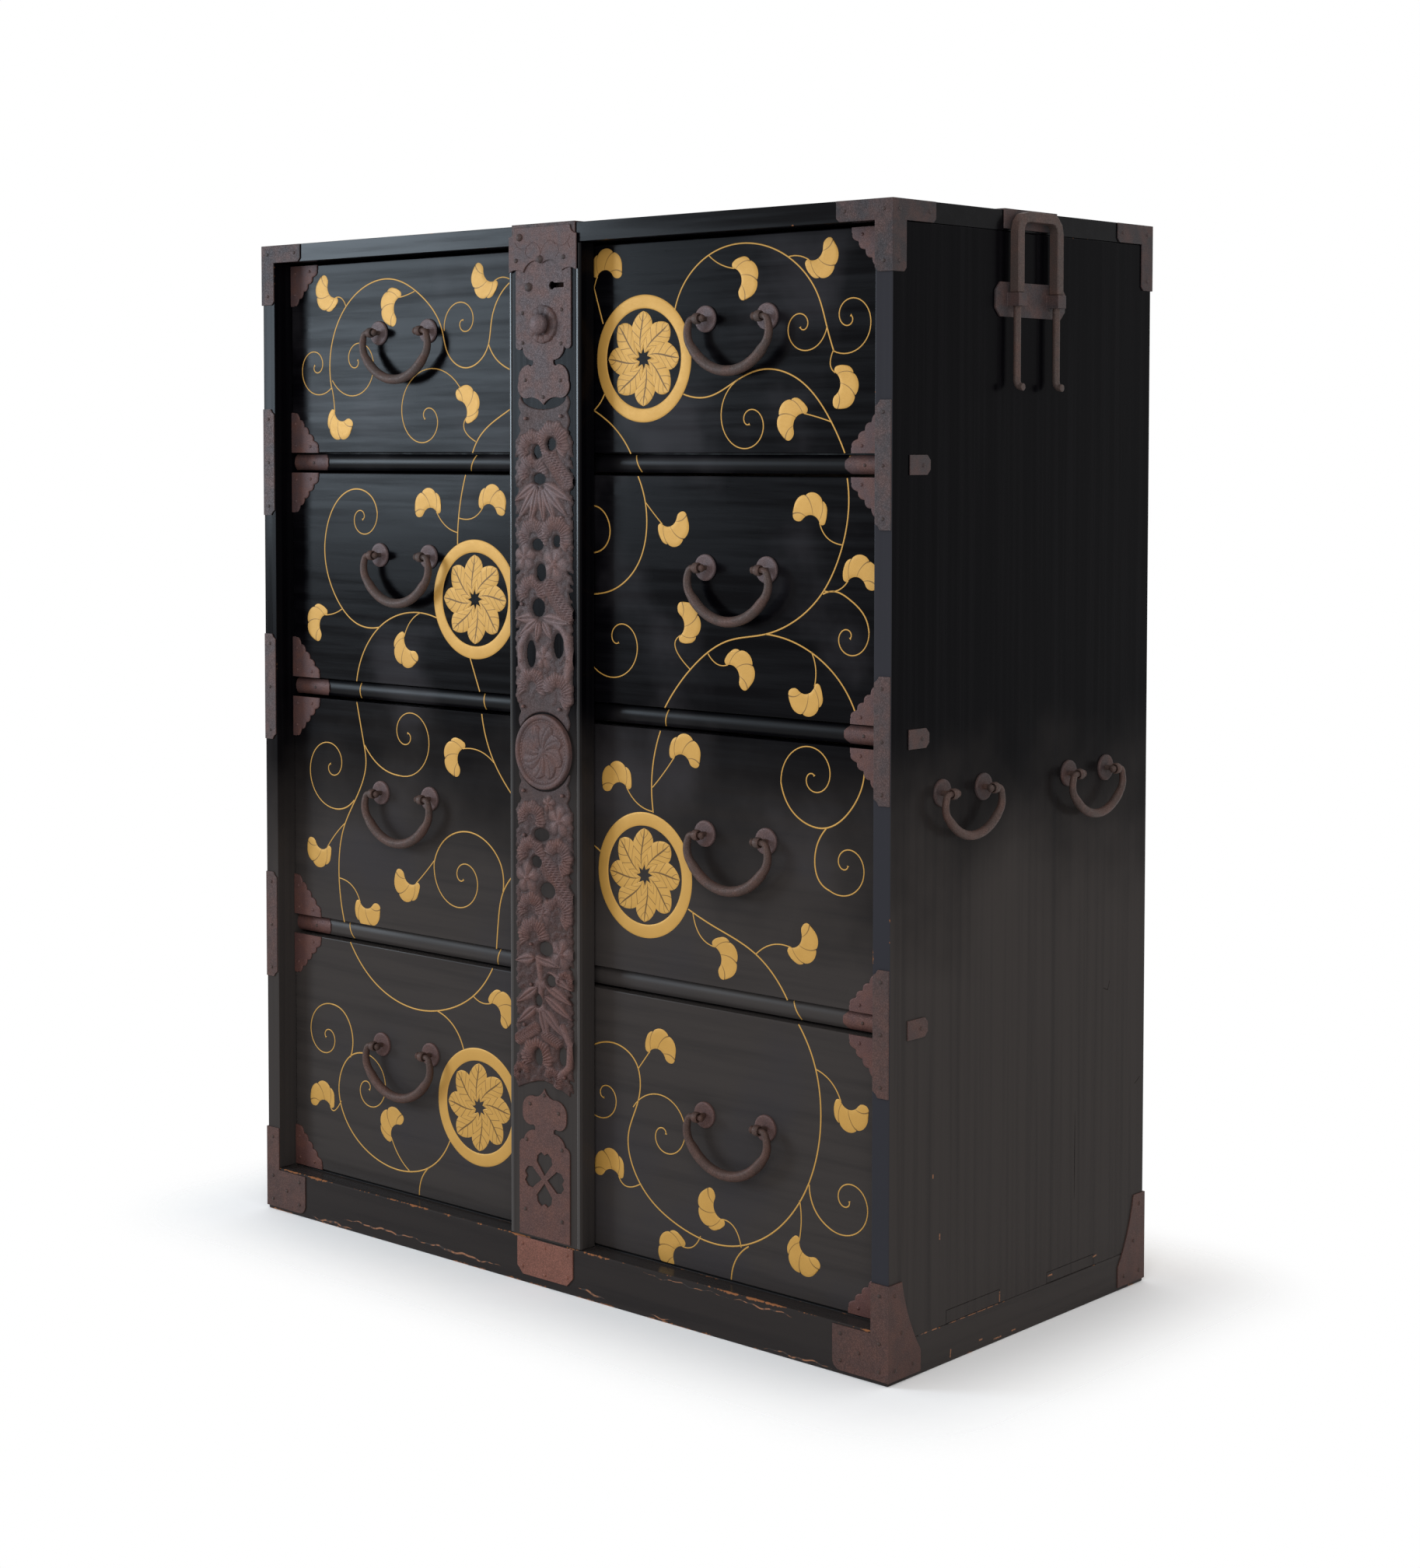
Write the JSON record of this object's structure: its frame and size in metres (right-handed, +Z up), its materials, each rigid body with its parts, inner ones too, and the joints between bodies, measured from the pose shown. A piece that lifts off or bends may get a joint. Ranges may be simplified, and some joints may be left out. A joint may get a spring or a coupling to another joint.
{
  "type": "chest of drawers",
  "caption": "Black lacquered Japanese chest of drawers with gold vine scrolls, forged iron fittings and an upright locking bar across the drawer fronts.",
  "frame": {"origin": "middle of the underside, on the floor", "axes": "+X to the right as seen from the front, +Y to the back, +Z up; the drawers and bar face -Y"},
  "size_m": [0.9452, 0.4637, 1.1215],
  "materials": {
    "lacquer": "black lacquer over wood, satin, lightly worn at the edges",
    "bare_wood": "planed light wood, unfinished",
    "iron": "dark brown wrought iron sheet, matt and speckled",
    "rust_iron": "red-brown rusted iron, matt"
  },
  "bodies": {
    "case": {"left_side": "lacquer", "right_side": "lacquer", "top_board": "lacquer", "back_board": "bare_wood", "base_board": "bare_wood", "plinth_front": "lacquer", "plinth_sides": "lacquer", "plinth_back": "lacquer", "drawer_rails": "lacquer", "drawer_runners": "bare_wood", "top_corner_irons": "iron", "foot_corner_irons": "iron", "stile_straps": "iron", "tenon_irons": "iron", "rail_end_irons": "iron", "head_strike": "iron", "pole_rim_irons": "iron", "foot_strike": "rust_iron", "side_eyes": "iron", "side_rosettes": "iron", "pole_plates": "iron"},
    "lock_bar": {"bar_board": "lacquer", "lock_case": "iron", "button_collar": "iron", "head_iron": "iron", "lock_plate": "iron", "upper_carved_iron": "iron", "bar_medallion": "iron", "lower_carved_iron": "iron", "foot_iron": "iron"},
    "lock_button": {"lock_button": "iron"},
    "lock_bolt": {"lock_bolt": "iron"},
    "drawer_1": {"drawer_1_front": "lacquer", "drawer_1_box": "bare_wood", "drawer_1_irons": "iron"},
    "drawer_1_left_bail": {"drawer_1_left_bail": "iron"},
    "drawer_1_right_bail": {"drawer_1_right_bail": "iron"},
    "drawer_2": {"drawer_2_front": "lacquer", "drawer_2_box": "bare_wood", "drawer_2_irons": "iron"},
    "drawer_2_left_bail": {"drawer_2_left_bail": "iron"},
    "drawer_2_right_bail": {"drawer_2_right_bail": "iron"},
    "drawer_3": {"drawer_3_front": "lacquer", "drawer_3_box": "bare_wood", "drawer_3_irons": "iron"},
    "drawer_3_left_bail": {"drawer_3_left_bail": "iron"},
    "drawer_3_right_bail": {"drawer_3_right_bail": "iron"},
    "drawer_4": {"drawer_4_front": "lacquer", "drawer_4_box": "bare_wood", "drawer_4_irons": "iron"},
    "drawer_4_left_bail": {"drawer_4_left_bail": "iron"},
    "drawer_4_right_bail": {"drawer_4_right_bail": "iron"},
    "left_front_bail": {"left_front_bail": "iron"},
    "left_rear_bail": {"left_rear_bail": "iron"},
    "left_pole_bail": {"left_pole_bail": "iron"},
    "right_front_bail": {"right_front_bail": "iron"},
    "right_rear_bail": {"right_rear_bail": "iron"},
    "right_pole_bail": {"right_pole_bail": "iron"}
  },
  "joints": [
    {"name": "bar_slide", "type": "slide", "parent": "case", "child": "lock_bar", "axis": [0, -1, 0], "range_m": [0, 0.6]},
    {"name": "button_press", "type": "slide", "parent": "lock_bar", "child": "lock_button", "axis": [0, 1, 0], "range_m": [0, 0.004]},
    {"name": "bolt_throw", "type": "slide", "parent": "lock_bar", "child": "lock_bolt", "axis": [0, 0, 1], "range_m": [0, 0.008]},
    {"name": "drawer_1_slide", "type": "slide", "parent": "case", "child": "drawer_1", "axis": [0, -1, 0], "range_m": [0, 0.27]},
    {"name": "drawer_1_left_bail_swing", "type": "hinge", "parent": "drawer_1", "child": "drawer_1_left_bail", "pos_m": [-0.242, -0.2125, 1.01644], "axis": [-1, 0, 0], "range_deg": [0, 160]},
    {"name": "drawer_1_right_bail_swing", "type": "hinge", "parent": "drawer_1", "child": "drawer_1_right_bail", "pos_m": [0.242, -0.2125, 1.01644], "axis": [-1, 0, 0], "range_deg": [0, 160]},
    {"name": "drawer_2_slide", "type": "slide", "parent": "case", "child": "drawer_2", "axis": [0, -1, 0], "range_m": [0, 0.3]},
    {"name": "drawer_2_left_bail_swing", "type": "hinge", "parent": "drawer_2", "child": "drawer_2_left_bail", "pos_m": [-0.242, -0.2125, 0.76836], "axis": [-1, 0, 0], "range_deg": [0, 160]},
    {"name": "drawer_2_right_bail_swing", "type": "hinge", "parent": "drawer_2", "child": "drawer_2_right_bail", "pos_m": [0.242, -0.2125, 0.76836], "axis": [-1, 0, 0], "range_deg": [0, 160]},
    {"name": "drawer_3_slide", "type": "slide", "parent": "case", "child": "drawer_3", "axis": [0, -1, 0], "range_m": [0, 0.33]},
    {"name": "drawer_3_left_bail_swing", "type": "hinge", "parent": "drawer_3", "child": "drawer_3_left_bail", "pos_m": [-0.242, -0.2125, 0.50037], "axis": [-1, 0, 0], "range_deg": [0, 160]},
    {"name": "drawer_3_right_bail_swing", "type": "hinge", "parent": "drawer_3", "child": "drawer_3_right_bail", "pos_m": [0.242, -0.2125, 0.50037], "axis": [-1, 0, 0], "range_deg": [0, 160]},
    {"name": "drawer_4_slide", "type": "slide", "parent": "case", "child": "drawer_4", "axis": [0, -1, 0], "range_m": [0, 0.36]},
    {"name": "drawer_4_left_bail_swing", "type": "hinge", "parent": "drawer_4", "child": "drawer_4_left_bail", "pos_m": [-0.242, -0.2125, 0.21444], "axis": [-1, 0, 0], "range_deg": [0, 160]},
    {"name": "drawer_4_right_bail_swing", "type": "hinge", "parent": "drawer_4", "child": "drawer_4_right_bail", "pos_m": [0.242, -0.2125, 0.21444], "axis": [-1, 0, 0], "range_deg": [0, 160]},
    {"name": "left_front_bail_swing", "type": "hinge", "parent": "case", "child": "left_front_bail", "pos_m": [-0.467, -0.1085, 0.55776], "axis": [0, 1, 0], "range_deg": [0, 160]},
    {"name": "left_rear_bail_swing", "type": "hinge", "parent": "case", "child": "left_rear_bail", "pos_m": [-0.467, 0.1085, 0.55776], "axis": [0, 1, 0], "range_deg": [0, 160]},
    {"name": "left_pole_bail_rise", "type": "slide", "parent": "case", "child": "left_pole_bail", "axis": [0, 0, 1], "range_m": [0, 0.07]},
    {"name": "right_front_bail_swing", "type": "hinge", "parent": "case", "child": "right_front_bail", "pos_m": [0.467, -0.1085, 0.55776], "axis": [0, -1, 0], "range_deg": [0, 160]},
    {"name": "right_rear_bail_swing", "type": "hinge", "parent": "case", "child": "right_rear_bail", "pos_m": [0.467, 0.1085, 0.55776], "axis": [0, -1, 0], "range_deg": [0, 160]},
    {"name": "right_pole_bail_rise", "type": "slide", "parent": "case", "child": "right_pole_bail", "axis": [0, 0, 1], "range_m": [0, 0.07]}
  ],
  "couplings": [
    {"joint": "bolt_throw", "follows": "button_press", "ratio": 2},
    {"joint": "drawer_1_slide", "follows": "bar_slide", "ratio": 0.45},
    {"joint": "drawer_2_slide", "follows": "bar_slide", "ratio": 0.5},
    {"joint": "drawer_3_slide", "follows": "bar_slide", "ratio": 0.55},
    {"joint": "drawer_4_slide", "follows": "bar_slide", "ratio": 0.6}
  ]
}
